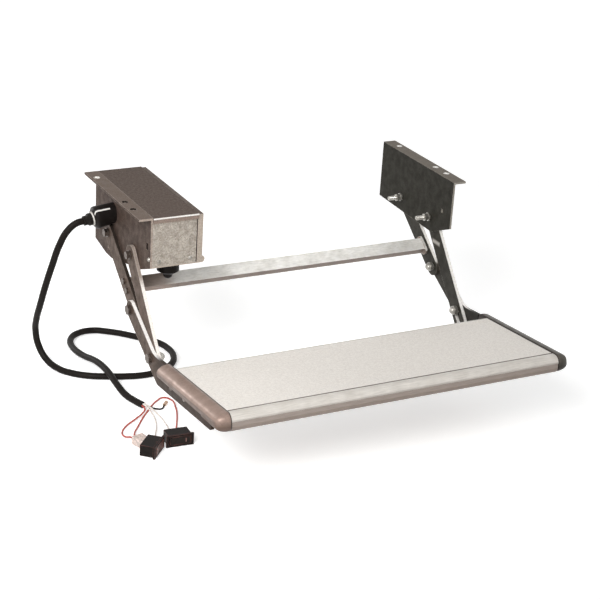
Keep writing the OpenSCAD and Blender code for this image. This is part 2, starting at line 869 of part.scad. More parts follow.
// An egg with the half widths size, at a place of the tread
module cap_egg(x, a, b, size) {
    translate([x, a, b])
        scale(size / cap_r)
            sphere(r = cap_r, $fn = facet);
}
module end_cap() {
    out = side_in + cap_w;
    tread_frame()
        difference() {
            intersection() {
                hull() {
                    for (x = [side_in - cap_root, out - cap_soft]) {
                        cap_egg(x, cap_r - nose_out, -cap_r + 1, [cap_soft, cap_r, cap_r]);
                        cap_egg(x, cap_low_r - nose_out, cap_low_r - cap_drop, [cap_soft, cap_low_r, cap_low_r]);
                        cap_egg(x, cap_len - cap_tail, -cap_r + 1, [cap_soft, cap_tail, cap_r]);
                        cap_egg(x, cap_len - cap_tail, cap_r - cap_rear_h, [cap_soft, cap_tail, cap_r]);
                    }
                }
                translate([side_in, -nose_out - 5, -tread_h - 20])
                    cube([cap_w + 20, cap_len + nose_out + 20, tread_h + 40]);
            }
            translate([side_in - 1, foot_front - 1, -foot_bottom - 5])
                cube([side_t + 1 + cap_w + 20, cap_len + 40, foot_bottom + 5 - foot_top + eps]);
        }
}
module left_end_cap() {
    color("#8c7870")
        mirror([1, 0, 0])
            end_cap();
}
module right_end_cap() {
    color("#645f58")
        end_cap();
}
screw_head = 8;
module side_screws() {
    color("#a39a90")
        both_sides()
            for (p = screw_places)
                union() {
                    rod(side_out - eps, screw_head, p, screw_d * 1.8);
                    rod(side_in - 14, side_t + 14, p, screw_d);
                }
}

// Bolts of the knee and the toe, with domed nuts inside
module hinge_bolts(p) {
    both_sides()
        union() {
            hex_rod(side_out, 5, p, knee_d * 1.6);
            rod(arm_in - 5, side_out - arm_in + 5 + eps, p, knee_d);
        }
}
module dome_nuts(p) {
    both_sides()
        difference() {
            union() {
                hex_rod(arm_in - side_gap - 5, 5, p, knee_d * 1.6);
                translate([arm_in - side_gap - 5 + eps, p[0], p[1]])
                    rotate([0, -90, 0])
                        rotate_extrude()
                            polygon(concat([[0, 0]], arc([0, 0], knee_d * 0.72, 0, 90, 6)));
            }
            rod(arm_in - 5, 10, p, knee_d);
        }
}
module knee_bolts() {
    color("#b8b2a6")
        hinge_bolts(j1);
}
module knee_nuts() {
    color("#c4beb2")
        dome_nuts(j1);
}
module toe_bolts() {
    color("#b8b2a6")
        hinge_bolts(t1);
}
module toe_nuts() {
    color("#c4beb2")
        dome_nuts(t1);
}

left_bracket();
right_bracket();
housing_case();
housing_front();
housing_lid();
housing_screws();
gearbox();
motor();
motor_clamp();
pivot_bolts();
pivot_nuts();
stop_buffer();
cable_boot();
cable_gland();
supply_cable();
red_link_wire();
red_wire();
white_wire();
white_link_wire();
spare_wire();
wire_terminal();
bracket_rivet();
connector_shell();
left_switch_body();
right_switch_body();
left_switch_rocker();
right_switch_rocker();
left_rear_arm();
right_rear_arm();
crossbar();
crossbar_bolts();
drive_gear();
drive_pinion();
left_front_arm();
right_front_arm();
left_side_plate();
right_side_plate();
tread_board();
grip_panel();
left_end_cap();
right_end_cap();
side_screws();
knee_bolts();
knee_nuts();
toe_bolts();
toe_nuts();
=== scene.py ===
# %% [markdown]
# # A pull-out step for a caravan door
# The shapes of the step come from its CAD model, which is loaded here as a fixed frame. Everything is in
# metres: X runs to the right seen from the front, Y to the rear and Z up, and the origin lies on the
# flanges, in the middle of the four outer screw holes. The dressed model has to stay in it.

# %% Load the frame
import math
import bpy
from mathutils import Matrix, Vector


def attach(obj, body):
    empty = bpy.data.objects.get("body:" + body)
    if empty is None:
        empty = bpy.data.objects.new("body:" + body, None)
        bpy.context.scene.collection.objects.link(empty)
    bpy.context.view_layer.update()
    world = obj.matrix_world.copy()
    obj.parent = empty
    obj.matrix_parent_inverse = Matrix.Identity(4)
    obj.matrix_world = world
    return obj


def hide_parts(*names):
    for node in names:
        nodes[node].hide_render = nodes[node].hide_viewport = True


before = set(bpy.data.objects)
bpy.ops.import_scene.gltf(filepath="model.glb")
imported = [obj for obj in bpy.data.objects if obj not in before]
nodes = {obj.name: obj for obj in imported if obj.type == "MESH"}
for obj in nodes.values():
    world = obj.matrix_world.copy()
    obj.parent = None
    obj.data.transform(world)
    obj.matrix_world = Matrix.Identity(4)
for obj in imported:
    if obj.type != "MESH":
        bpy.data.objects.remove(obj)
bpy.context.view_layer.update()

# %% [markdown]
# ## The camera
# The photograph was taken from the left front and from above, with a long lens, and slightly tilted. The
# place and the turn of the camera were found by matching known points of the step with their places in
# the picture. A camera could be aimed with a Track To constraint, but its matrix is written directly
# here, so that the tilt is exact.

# %% Camera
scene = bpy.context.scene
picture_width, focal_length = 600, 1647  # pixels
sensor_width = 36.0  # millimetres
clip_end = 50
camera_at = Vector((-1.0717, -2.0555, 0.7835))
yaw, elevation, roll = (math.radians(angle) for angle in (-28.72, 22.94, 3.65))


def new_object(name, data):
    made = bpy.data.objects.new(name, data)
    scene.collection.objects.link(made)
    return made


back = Vector((math.sin(yaw) * math.cos(elevation),
               -math.cos(yaw) * math.cos(elevation),
               math.sin(elevation)))
level_right = Vector((math.cos(yaw), math.sin(yaw), 0))
level_up = back.cross(level_right)
right = math.cos(roll) * level_right + math.sin(roll) * level_up
up = -math.sin(roll) * level_right + math.cos(roll) * level_up

camera_data = bpy.data.cameras.new("photo_camera")
camera_data.sensor_width = sensor_width
camera_data.lens = sensor_width * focal_length / picture_width
camera_data.clip_end = clip_end
camera = new_object("photo_camera", camera_data)
camera_matrix = Matrix((right, up, back)).transposed().to_4x4()
camera_matrix.translation = camera_at
camera.matrix_world = camera_matrix
scene.camera = camera
scene.view_settings.view_transform = "Standard"
print("camera lens", round(camera_data.lens, 2), "mm at", [round(v, 3) for v in camera_at])

# %% [markdown]
# ## Cable and wires
# A black cable leaves the gland on the left bracket, drops to the floor, makes one loop and ends in five
# thin wires, which lead to two rocker switches, a connector and a loose terminal. A cable could be swept
# as a mesh, but a curve with a round bevel is its own centre line, so its length and its bends stay easy
# to measure. The points are those of the CAD model, in millimetres.

# %% Curve helper
mm = 0.001
curve_steps, bevel_steps = 8, 4


def lay_cord(name, route, diameter):
    data = bpy.data.curves.new(name, "CURVE")
    data.dimensions = "3D"
    data.resolution_u = curve_steps
    data.bevel_depth = 1.0
    data.bevel_resolution = bevel_steps
    data.use_fill_caps = True
    spline = data.splines.new("BEZIER")
    spline.bezier_points.add(len(route) - 1)
    for point, place in zip(spline.bezier_points, route):
        point.co = point.handle_left = point.handle_right = Vector(place) / 1000
        point.radius = diameter / 2
        point.handle_left_type = point.handle_right_type = "AUTO"
    cord = new_object(name, data)
    length = spline.calc_length()
    print(name, "length", round(length, 3), "m, diameter", diameter / mm, "mm")
    return cord, length


# %% Routes in millimetres
routes = {
    "supply_cable": [
        (-290.3, 28, -48), (-300.1, 28, -49.7), (-313.5, 29, -60), (-325, 32.5, -83), (-332.5, 40, -114),
        (-338, 52.5, -149), (-341, 69, -187), (-340, 88.5, -217), (-336.5, 104, -243), (-332.5, 104, -267.5),
        (-325, 90, -287), (-314, 66.5, -294.5), (-301, 46.5, -295), (-280, 28.5, -295), (-256, 17, -295),
        (-228, 7, -295), (-200, 2, -295), (-173, 7, -295), (-150, 22, -295), (-135, 46, -295),
        (-131, 78, -295), (-140, 108, -295), (-163, 137, -295), (-195, 168, -295), (-219, 181, -295),
        (-244, 177, -295), (-261, 159, -295), (-267.5, 134, -294.5), (-268, 110, -293), (-265, 84, -290),
        (-261, 58, -285), (-258, 30, -283), (-257, 2, -284), (-256, -26, -289), (-253, -50, -294),
        (-247, -73, -295), (-241, -90, -295)],
    "red_link_wire": [
        (-286.5, -185.8, -291), (-288.7, -177.8, -292.5), (-284, -163, -296.5), (-270, -142, -298.5),
        (-252, -118, -298.5), (-240, -104, -298.5), (-228, -90, -298.5), (-214, -77, -298.5),
        (-202, -71, -298.5), (-194, -80, -298.5), (-197, -106, -298.5), (-206, -132, -298.5),
        (-217, -156, -298), (-224.5, -174, -295), (-224.8, -184.1, -292), (-225.1, -192.1, -291)],
    "red_wire": [
        (-243.5, -92, -294.5), (-243, -101, -295), (-252, -113, -295.5), (-268, -124, -297),
        (-285, -135, -298.5), (-298, -152, -298.5), (-300.5, -170, -295.5), (-296.6, -179.3, -292.3),
        (-294.2, -187.8, -291)],
    "white_wire": [
        (-242, -91.5, -292), (-239, -101, -294), (-237.5, -120, -298), (-242, -140, -298.5),
        (-250, -160, -298), (-259, -178, -295.5), (-266.8, -194.1, -292.3), (-271.8, -200.1, -291)],
    "white_link_wire": [
        (-239, -90.5, -292), (-236.5, -100, -292.5), (-232, -112, -296), (-229.5, -130, -298.5),
        (-231.5, -152, -298), (-235.5, -171, -295), (-237.9, -183.2, -292.2), (-237.6, -191.2, -291)],
    "spare_wire": [
        (-237.5, -90, -294.5), (-233, -98, -295.5), (-226, -104, -297), (-217, -103, -298.5),
        (-211, -96, -298)]}
print("points on each route:", {name: len(route) for name, route in routes.items()})

cable_diameter, wire_diameter = 0.010, 0.0025
right_switch = ["right_switch_body", "right_switch_rocker"]
left_switch = ["connector_shell", "left_switch_body", "left_switch_rocker"]
cords = {}
for name, diameter, stiffness, far_end, extras in [
        ("supply_cable", cable_diameter, "medium", "bare", []),
        ("red_link_wire", wire_diameter, "limp", "fitting", right_switch),
        ("red_wire", wire_diameter, "limp", "fitting", left_switch),
        ("white_wire", wire_diameter, "limp", "object", []),
        ("white_link_wire", wire_diameter, "limp", "object", []),
        ("spare_wire", wire_diameter, "limp", "fitting", ["wire_terminal"])]:
    route = routes[name]
    cord, length = lay_cord(name + "_cord", route, diameter)
    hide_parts(name)
    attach(cord, "frame")
    cords[name] = cord

# %% [markdown]
# ## Small pieces that the CAD model leaves out
# Thread, a rolled edge, a sealing ring and the marks on the switches are too fine for the CAD model,
# which carries the sizes that matter. They could be drawn with bump in a material, but as meshes they
# hold up close and in every light. Each one rides on the body that carries it, so that it moves along in
# every pose.


# %% Helpers for new pieces
def start_piece(name):
    piece = bpy.context.object
    piece.name = piece.data.name = name
    return piece


def select_only(piece):
    bpy.ops.object.select_all(action="DESELECT")
    piece.select_set(True)
    bpy.context.view_layer.objects.active = piece


def copy_piece(piece, name):
    copy = new_object(name, piece.data.copy())
    copy.data.name = name
    select_only(copy)
    return copy


def select_faces(piece, wanted):
    bpy.ops.object.mode_set(mode="EDIT")
    bpy.ops.mesh.select_mode(type="FACE")
    bpy.ops.mesh.select_all(action="DESELECT")
    bpy.ops.object.mode_set(mode="OBJECT")
    for face in piece.data.polygons:
        face.select = wanted(face)
    bpy.ops.object.mode_set(mode="EDIT")


def draw_out(shift):
    bpy.ops.mesh.extrude_region_move(TRANSFORM_OT_translate={"value": shift})


def end_piece(piece, body, angle=40):
    bpy.ops.object.mode_set(mode="OBJECT")
    bpy.ops.object.transform_apply(location=True, rotation=True, scale=True)
    bpy.ops.object.shade_smooth_by_angle(angle=math.radians(angle))
    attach(piece, body)
    print(piece.name, len(piece.data.polygons), "faces on", body)


# %% [markdown]
# ### Thread on the right pivot bolts
# The bolts of the right bracket stick out of their nuts, and their thread shows. A real thread is a
# helix, cut with a die, and a Screw modifier could make one. Seen from a step away, rings do the same and
# close neatly at both ends: a thin disc is drawn out again and again, a little wider and a little
# narrower in turn. The second thread is a copy of the first.

# %% Threads
rear_pivot = (0.2334, 0.034, -0.072)
rear_to_front = (0, -0.085, -0.003)
thread_radius, disc, pitch, turns = 0.0031, 0.0010, 0.00125, 10
crest = 1.12
end_inset, end_length = 0.0006, 0.0005

bpy.ops.mesh.primitive_cylinder_add(vertices=24, radius=thread_radius, depth=disc, location=rear_pivot,
                                    rotation=(0, -math.pi / 2, 0))
rear_thread = start_piece("rear_pivot_thread")
select_faces(rear_thread, lambda face: face.normal.z > 0.9)
for grow in (crest, 1 / crest) * turns:
    draw_out((-pitch / 2, 0, 0))
    bpy.ops.transform.resize(value=(1, grow, grow), center_override=rear_pivot)
bpy.ops.mesh.inset(thickness=end_inset)
draw_out((-end_length, 0, 0))
end_piece(rear_thread, "frame")
front_thread = copy_piece(rear_thread, "front_pivot_thread")
front_thread.location = rear_to_front
end_piece(front_thread, "frame")

# %% [markdown]
# ### Rolled edge of the lid
# The lid's front edge is folded over, so that no sharp sheet is left, and the fold is given a near-white
# finish, a painted highlight where the light catches it. It could be bent from the lid's own sheet, but a
# thin rod along the edge looks the same and leaves the CAD lid as it is. Its ends are rounded with a bevel.

# %% Lid edge
fold_at, fold_radius, fold_length = (-0.208, -0.1134, -0.0014), 0.0012, 0.068
fold_round = 0.0005

bpy.ops.mesh.primitive_cylinder_add(vertices=16, radius=fold_radius, depth=fold_length, location=fold_at,
                                    rotation=(0, math.pi / 2, 0))
lid_edge = start_piece("lid_rolled_edge")
select_faces(lid_edge, lambda face: abs(face.normal.z) > 0.9)
bpy.ops.mesh.bevel(offset=fold_round, segments=3, affect="EDGES")
end_piece(lid_edge, "frame")

# %% [markdown]
# ### Sealing ring of the cable boot
# Between the rubber boot and the gland sits a pale ring, which shows as a bright line in the picture. A
# torus would have a round section. A short open tube that gets its wall from Solidify and soft edges from
# Bevel keeps flat sides, as a washer has. Both modifiers are applied, so that the mesh is the final one.

# %% Sealing ring
boot_base = Vector((-0.245, 0.028, -0.040))
boot_tilt = math.radians(10)
boot_axis = Vector((-math.cos(boot_tilt), 0, -math.sin(boot_tilt)))
ring_out, ring_radius, ring_width, ring_wall, ring_round = 0.0326, 0.0104, 0.0022, 0.0016, 0.0004

bpy.ops.mesh.primitive_cylinder_add(vertices=40, radius=ring_radius, depth=ring_width,
                                    end_fill_type="NOTHING", location=boot_base + ring_out * boot_axis,
                                    rotation=(0, -math.pi / 2 - boot_tilt, 0))
seal = start_piece("boot_sealing_ring")
wall = seal.modifiers.new("wall", "SOLIDIFY")
wall.thickness = ring_wall
wall.offset = -1
bpy.ops.object.modifier_apply(modifier="wall")
soft = seal.modifiers.new("soft", "BEVEL")
soft.width = ring_round
soft.segments = 3
bpy.ops.object.modifier_apply(modifier="soft")
end_piece(seal, "frame")

# %% [markdown]
# ### Marks on the rockers
# Each rocker carries a small moulded bar that tells its on side, the plainest sign a switch can have. It
# could be a mask in the plastic's material, but a raised block catches the light as a moulded sign does.
# The left mark is a copy, and each one is turned with its switch.

# %% Rocker marks
mark_size = (0.0010, 0.0006, 0.0055)
mark_rim, mark_rise = 0.0002, 0.0002
mark_along, mark_out = 0.0085, -0.0031
rest_tilt = math.radians(-6.5)

bpy.ops.mesh.primitive_cube_add(size=1, location=(0, 0, 0), scale=mark_size)
right_mark = start_piece("right_rocker_mark")
bpy.ops.object.transform_apply(location=False, rotation=False, scale=True)
select_faces(right_mark, lambda face: face.normal.y < -0.9)
bpy.ops.mesh.inset(thickness=mark_rim)
draw_out((0, -mark_rise, 0))
bpy.ops.object.mode_set(mode="OBJECT")
left_mark = copy_piece(right_mark, "left_rocker_mark")
for mark, rocker_at, turn, body in [
        (right_mark, (-0.237, -0.212, -0.291), math.radians(-4), "right_rocker"),
        (left_mark, (-0.274, -0.222, -0.291), math.radians(48), "left_rocker")]:
    select_only(mark)
    mark.location = Vector(rocker_at) + Matrix.Rotation(turn, 3, "Z") @ Vector((mark_along, mark_out, 0))
    mark.rotation_euler = (0, 0, turn + rest_tilt)
    end_piece(mark, body)

# %% [markdown]
# ### End caps
# The end caps are soft, egg-shaped mouldings. The CAD model gives their form in flat facets, and more
# facets would only make its files heavy. A copy whose points are merged can be shaded smoothly instead,
# and stands in for the faceted node.

# %% Smooth end caps
merge_distance, cap_smooth_angle = 0.00002, 36
caps = {}
for side in ("left", "right"):
    node = nodes[side + "_end_cap"]
    cap = copy_piece(node, side + "_cap_moulding")
    cap.matrix_world = node.matrix_world
    bpy.ops.object.mode_set(mode="EDIT")
    bpy.ops.mesh.select_all(action="SELECT")
    bpy.ops.mesh.remove_doubles(threshold=merge_distance)
    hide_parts(side + "_end_cap")
    end_piece(cap, "tread", cap_smooth_angle)
    caps[side] = cap

# %% [markdown]
# ## Floor and light
# The step hangs from its flanges and the cable lies on the floor, so the floor sits just under the cable.
# A plane would do, but a large sheet with its corners cut round has no corner that could show. Its paper
# glows a little for the camera and in reflections, more so far away, where less lamp light falls, so that
# it stays pale up to its rim. Floor and sky both ask which ray looks at them, and a few helpers keep
# their nodes short.


# %% Node helpers
def feed(node, inputs):
    # A socket is linked to the input, and any other value is written into it.
    for socket, value in inputs.items():
        if isinstance(value, bpy.types.NodeSocket):
            node.id_data.links.new(value, node.inputs[socket])
        else:
            node.inputs[socket].default_value = value


def add_node(tree, kind, inputs=None, **settings):
    node = tree.nodes.new("ShaderNode" + kind)
    for setting, value in settings.items():
        setattr(node, setting, value)
    feed(node, inputs or {})
    return node


def maths(tree, operation, first, second):
    return add_node(tree, "Math", {0: first, 1: second}, operation=operation).outputs[0]


def seen_rays(tree):
    rays = add_node(tree, "LightPath").outputs
    straight = maths(tree, "MAXIMUM", rays["Is Camera Ray"], rays["Is Glossy Ray"])
    return maths(tree, "MAXIMUM", straight, rays["Is Transmission Ray"])


# %% Floor sheet
floor_z = -0.300
sheet_size, sheet_back, corner_cut = 16, 2, 2.0

bpy.ops.mesh.primitive_plane_add(size=sheet_size, location=(0, sheet_back, floor_z))
floor = start_piece("studio_floor")
bpy.ops.object.mode_set(mode="EDIT")
bpy.ops.mesh.bevel(offset=corner_cut, segments=8, affect="VERTICES")
bpy.ops.object.mode_set(mode="OBJECT")
bpy.ops.object.transform_apply(location=True, rotation=True, scale=True)
print("floor at", floor_z, "m,", len(floor.data.vertices), "points")

# %% Floor paper
near, far = 0.9, 2.6  # metres from the origin
near_glow, far_glow = 0.44, 0.67
paper_tones = (0.90, 0.90, 0.895, 1), (0.93, 0.93, 0.925, 1)

floor_paper = bpy.data.materials.new("floor_paper")
floor_paper.use_nodes = True
tree = floor_paper.node_tree
spot = add_node(tree, "TexCoord").outputs["Object"]
cloud = add_node(tree, "TexNoise", {"Vector": spot, "Scale": 3.0})
tone = add_node(tree, "Mix", {"Factor": cloud.outputs["Fac"], "A": paper_tones[0], "B": paper_tones[1]},
                data_type="RGBA")
away = add_node(tree, "VectorMath", {0: spot}, operation="LENGTH")
glow = add_node(tree, "MapRange", {"Value": away.outputs["Value"], "From Min": near, "From Max": far,
                                   "To Min": near_glow, "To Max": far_glow}, interpolation_type="SMOOTHSTEP")
feed(tree.nodes["Principled BSDF"], {
    "Base Color": tone.outputs["Result"], "Roughness": 0.9, "Specular IOR Level": 0.1,
    "Emission Color": (1, 1, 1, 1),
    "Emission Strength": maths(tree, "MULTIPLY", seen_rays(tree), glow.outputs["Result"])})
floor.data.materials.append(floor_paper)
print("floor glow", near_glow, "near and", far_glow, "far")

# %% [markdown]
# ### Sky and lamps
# The light is soft, as in a studio: a bright sky all round, a large lamp at the left front, a weak one at
# the right and a small one behind. A picture of a studio could light it too, but lamps are easy to move.
# The sky looks white to the camera and in reflections, and lights the rest at less than half that
# strength, so that a colour looks about as it is written. In the photograph the light falls off to the
# right, so the front lamp has a narrow beam that is aimed at the left side.

# %% Sky
sky_light, sky_seen = 0.45, 1.0

sky = bpy.data.worlds.new("studio_sky")
sky.use_nodes = True
scene.world = sky
tree = sky.node_tree
tree.nodes.clear()
level = add_node(tree, "MapRange", {"Value": seen_rays(tree), "To Min": sky_light, "To Max": sky_seen})
shine = add_node(tree, "Background", {"Color": (1, 1, 1, 1), "Strength": level.outputs["Result"]})
add_node(tree, "OutputWorld", {"Surface": shine.outputs["Background"]})
print("sky strength", sky_light, "seen as", sky_seen)

# %% Lamps
step_middle, left_side = Vector((0, -0.15, -0.15)), Vector((-0.3, -0.2, -0.1))
open_beam, narrow_beam = 180, 50

for name, at, aim, size, beam, power in [
        ("front_lamp", (-1.3, -1.15, 0.95), left_side, 1.0, narrow_beam, 3.75),
        ("right_lamp", (2.0, -1.4, 1.7), step_middle, 1.6, open_beam, 4),
        ("rear_lamp", (-1.1, 1.8, 0.3), step_middle, 0.35, open_beam, 9)]:
    data = bpy.data.lights.new(name, "AREA")
    data.shape = "DISK"
    data.size = size
    data.spread = math.radians(beam)
    data.energy = power
    lamp = new_object(name, data)
    lamp.location = at
    lamp.rotation_euler = (aim - Vector(at)).to_track_quat("-Z", "Y").to_euler()
    print(name, power, "W at", at)

# %% [markdown]
# ## Shared surface effects
# Paint, zinc and plastic all share a few effects: patches of slightly different colour, a fine grain that
# catches the light, edges rubbed bright, faces that look one way, and zones of a piece. Each effect could
# be built again in every material, but as a node group with named sockets it is made once and used with
# its own values in many. The groups work on Object coordinates, which here are metres on the step itself.

# %% Node group helper
FLOAT, COLOUR, VECTOR = "NodeSocketFloat", "NodeSocketColor", "NodeSocketVector"


def new_group(name, inputs, outputs):
    group = bpy.data.node_groups.new(name, "ShaderNodeTree")
    for socket, kind, value in inputs:
        group.interface.new_socket(socket, in_out="INPUT", socket_type=kind).default_value = value
    for socket, kind in outputs:
        group.interface.new_socket(socket, in_out="OUTPUT", socket_type=kind)
    print("group", name, "gives", ", ".join(socket for socket, kind in outputs))
    return group, group.nodes.new("NodeGroupInput").outputs, group.nodes.new("NodeGroupOutput")


# %% [markdown]
# ### Patches
# No coat is even: paint runs, zinc clouds over and dirt stays behind. A painted picture could show that,
# but a noise works on any shape. One noise with fine detail mixes a second tone into the first. The mask
# is given out too, so that the gloss can change with the same patches.

# %% Patches group
patches, given, results = new_group(
    "colour_patches",
    [("Colour", COLOUR, (0.5, 0.5, 0.5, 1)), ("Second tone", COLOUR, (0.6, 0.6, 0.6, 1)),
     ("Scale", FLOAT, 25.0)],
    [("Colour", COLOUR), ("Mask", FLOAT)])
where = add_node(patches, "TexCoord").outputs["Object"]
cloud = add_node(patches, "TexNoise", {"Vector": where, "Scale": given["Scale"],
                                       "Detail": 5, "Roughness": 0.62})
mask = add_node(patches, "MapRange", {"Value": cloud.outputs["Fac"], "From Min": 0.36, "From Max": 0.66})
blend = add_node(patches, "Mix", {"Factor": mask.outputs["Result"], "A": given["Colour"],
                                  "B": given["Second tone"]}, data_type="RGBA")
feed(results, {"Colour": blend.outputs["Result"], "Mask": mask.outputs["Result"]})

# %% [markdown]
# ### Grain
# Every surface has a grain of its own, from moulded plastic to brushed metal. It could be modelled only
# at a great cost, so it is one noise whose pattern can be stretched along an axis: round for paint and
# cast metal, drawn out for rolled or brushed metal. It gives a height for a Bump node.

# %% Grain group
grains, given, results = new_group(
    "fine_grain", [("Stretch", VECTOR, (1.0, 1.0, 1.0)), ("Scale", FLOAT, 900.0)], [("Height", FLOAT)])
where = add_node(grains, "TexCoord").outputs["Object"]
drawn = add_node(grains, "VectorMath", {0: where, 1: given["Stretch"]}, operation="MULTIPLY")
dots = add_node(grains, "TexNoise", {"Vector": drawn.outputs["Vector"], "Scale": given["Scale"], "Detail": 3})
feed(results, {"Height": dots.outputs["Fac"]})

# %% [markdown]
# ### Rubbed edges
# On sheet metal the coat wears off at the edges first. Edges could be found once by painting, but the
# Bevel node finds them on any shape: it rounds the normal within a small radius, and where this normal
# leaves the real one, there is an edge. A noise breaks the line up, so that it isn't drawn with a ruler.

# %% Rubbed edges group
rub_radius = 0.0016

# On the switches, the tone laid on this mask is a painted highlight on their edges, not wear.
edges, given, results = new_group("rubbed_edges", [("Amount", FLOAT, 0.6)], [("Mask", FLOAT)])
rounded = add_node(edges, "Bevel", {"Radius": rub_radius}, samples=6).outputs["Normal"]
real = add_node(edges, "NewGeometry").outputs["Normal"]
agree = add_node(edges, "VectorMath", {0: rounded, 1: real}, operation="DOT_PRODUCT")
bent = add_node(edges, "MapRange", {"Value": agree.outputs["Value"], "From Min": 0.995, "From Max": 0.80})
where = add_node(edges, "TexCoord").outputs["Object"]
chips = add_node(edges, "TexNoise", {"Vector": where, "Scale": 160, "Detail": 4})
broken = add_node(edges, "MapRange", {"Value": chips.outputs["Fac"], "From Min": 0.30, "From Max": 0.60})
edge_mark = maths(edges, "MULTIPLY", bent.outputs["Result"], broken.outputs["Result"])
feed(results, {"Mask": maths(edges, "MULTIPLY", edge_mark, given["Amount"])})

# %% [markdown]
# ### Which way a face looks
# Cut edges of sheet metal get a tone of their own: bright, partly as bare metal and partly as a painted
# highlight, and dark as painted shade where they lie in the shade. A flange top is painted lighter as
# painted light from above, and the underside of a nose is painted darker as painted shade. Faces could be
# given materials one by one, but the normal in Object space says which way a face looks, and it turns with
# the piece, so these masks hold in every pose. Cut is 1 on faces that don't look along X, as the cut edges
# of the upright sheets, and Wall on those that don't look up. Up and Front are 1 on faces that look that
# way, and Under on those that look down or straight ahead.

# %% Face direction group
facing, _, results = new_group(
    "face_direction", [],
    [("Cut", FLOAT), ("Wall", FLOAT), ("Up", FLOAT), ("Front", FLOAT), ("Under", FLOAT)])
normal = add_node(facing, "TexCoord").outputs["Normal"]
along = add_node(facing, "SeparateXYZ", {"Vector": normal}).outputs
sideways = add_node(facing, "Math", {0: along["X"]}, operation="ABSOLUTE").outputs[0]
for socket, share, none_at, full_at in [
        ("Cut", sideways, 0.8, 0.5), ("Wall", along["Z"], 0.8, 0.4), ("Up", along["Z"], 0.4, 0.8),
        ("Front", along["Y"], -0.4, -0.8), ("Under", along["Z"], 0.30, 0.02)]:
    step = add_node(facing, "MapRange", {"Value": share, "From Min": none_at, "From Max": full_at},
                    interpolation_type="SMOOTHSTEP")
    feed(results, {socket: step.outputs["Result"]})

# %% [markdown]
# ### A zone of the step
# Stains, seams, painted shade on hole walls and on the ends of some parts, and painted highlights cover
# only one place of a piece. A painted mask would need its own map, but a zone can be written in numbers:
# this group is 1 inside a box given by its middle and half size, with a soft border. It measures how far a
# point lies outside the box on its worst axis.

# %% Zone group
zones, given, results = new_group(
    "inside_box",
    [("Middle", VECTOR, (0.0, 0.0, 0.0)), ("Half size", VECTOR, (1.0, 1.0, 1.0)), ("Border", FLOAT, 0.01),
     ("Amount", FLOAT, 1.0)],
    [("Mask", FLOAT)])
where = add_node(zones, "TexCoord").outputs["Object"]
offset = add_node(zones, "VectorMath", {0: where, 1: given["Middle"]}, operation="SUBTRACT")
distance = add_node(zones, "VectorMath", {0: offset.outputs["Vector"]}, operation="ABSOLUTE")
outside = add_node(zones, "VectorMath", {0: distance.outputs["Vector"], 1: given["Half size"]},
                   operation="SUBTRACT")
along = add_node(zones, "SeparateXYZ", {"Vector": outside.outputs["Vector"]}).outputs
worst = maths(zones, "MAXIMUM", maths(zones, "MAXIMUM", along["X"], along["Y"]), along["Z"])
step = add_node(zones, "MapRange", {"Value": maths(zones, "DIVIDE", worst, given["Border"]),
                                    "From Min": 1.0, "From Max": -1.0}, interpolation_type="SMOOTHSTEP")
feed(results, {"Mask": maths(zones, "MULTIPLY", step.outputs["Result"], given["Amount"])})

# %% [markdown]
# ## Finishes
# Most pieces have the same kind of finish: a coat in two tones, worn edges, a changing gloss and a fine
# grain. Each material could be wired by hand, but one function builds them all from the groups and
# returns the material, so that a special finish can start from it. Scale and grain say how fine its
# patches and its grain are, rough is the range of its roughness, and cut, up, front and shaded_under are
# tones for the faces that look that way. The up tone is painted light on tops, the shaded_under tone is
# painted shade on undersides, and the cut tone is a painted highlight on some pieces and painted shade on
# one. A second function lays a tint over a zone of it, for a stain or for painted light or shade, which is
# written in millimetres and can be kept to some of those faces. Colours are written as they look on a
# screen and changed to linear light.


# %% Colour helpers
def screen_colour(levels):
    shares = [level / 255 for level in levels]
    return [v / 12.92 if v <= 0.04045 else ((v + 0.055) / 1.055) ** 2.4 for v in shares] + [1.0]


def add_group(tree, group, inputs=None):
    return add_node(tree, "Group", inputs, node_tree=group).outputs


def tint(tree, colour, mask, tone):
    mix = add_node(tree, "Mix", {"Factor": mask, "A": colour, "B": screen_colour(tone)}, data_type="RGBA")
    return mix.outputs["Result"]


def times(tree, colour, factor, name):
    return add_node(tree, "Mix", {"Factor": 1.0, "A": colour, "B": factor}, data_type="RGBA",
                    blend_type="MULTIPLY", name=name).outputs["Result"]


# %% Coat helper
grain_depth = 0.001


def coat(name, first, second, scale, rough, metal=0.0, edge_mark=None, wear=0.6, grain=900, bump=0.03,
         stretch=(1, 1, 1), cut=None, up=None, front=None, shaded_under=None, sheen=0.25, speck=0.11):
    material = bpy.data.materials.new(name)
    material.use_nodes = True
    tree = material.node_tree
    patch = add_group(tree, patches, {"Colour": screen_colour(first), "Second tone": screen_colour(second),
                                      "Scale": scale})
    colour = patch["Colour"]
    # These face tones paint light and shade: a lighter top, a darker underside, lit or shaded cut edges.
    for faces, tone in [("Cut", cut), ("Up", up), ("Front", front), ("Under", shaded_under)]:
        if tone:
            colour = tint(tree, colour, add_group(tree, facing)[faces], tone)
    if edge_mark:
        colour = tint(tree, colour, add_group(tree, edges, {"Amount": wear})["Mask"], edge_mark)
    height = add_group(tree, grains, {"Scale": grain, "Stretch": stretch})["Height"]
    dots = add_node(tree, "MapRange", {"Value": height, "From Min": 0.3, "From Max": 0.7,
                                       "To Min": 1 - speck, "To Max": 1 + speck})
    gloss = add_node(tree, "MapRange", {"Value": patch["Mask"], "To Min": rough[0], "To Max": rough[1]})
    relief = add_node(tree, "Bump", {"Height": height, "Strength": bump, "Distance": grain_depth})
    feed(tree.nodes["Principled BSDF"], {
        "Base Color": times(tree, colour, dots.outputs["Result"], "dotted"), "Metallic": metal,
        "Roughness": gloss.outputs["Result"], "Specular IOR Level": sheen,
        "Normal": relief.outputs["Normal"]})
    return material


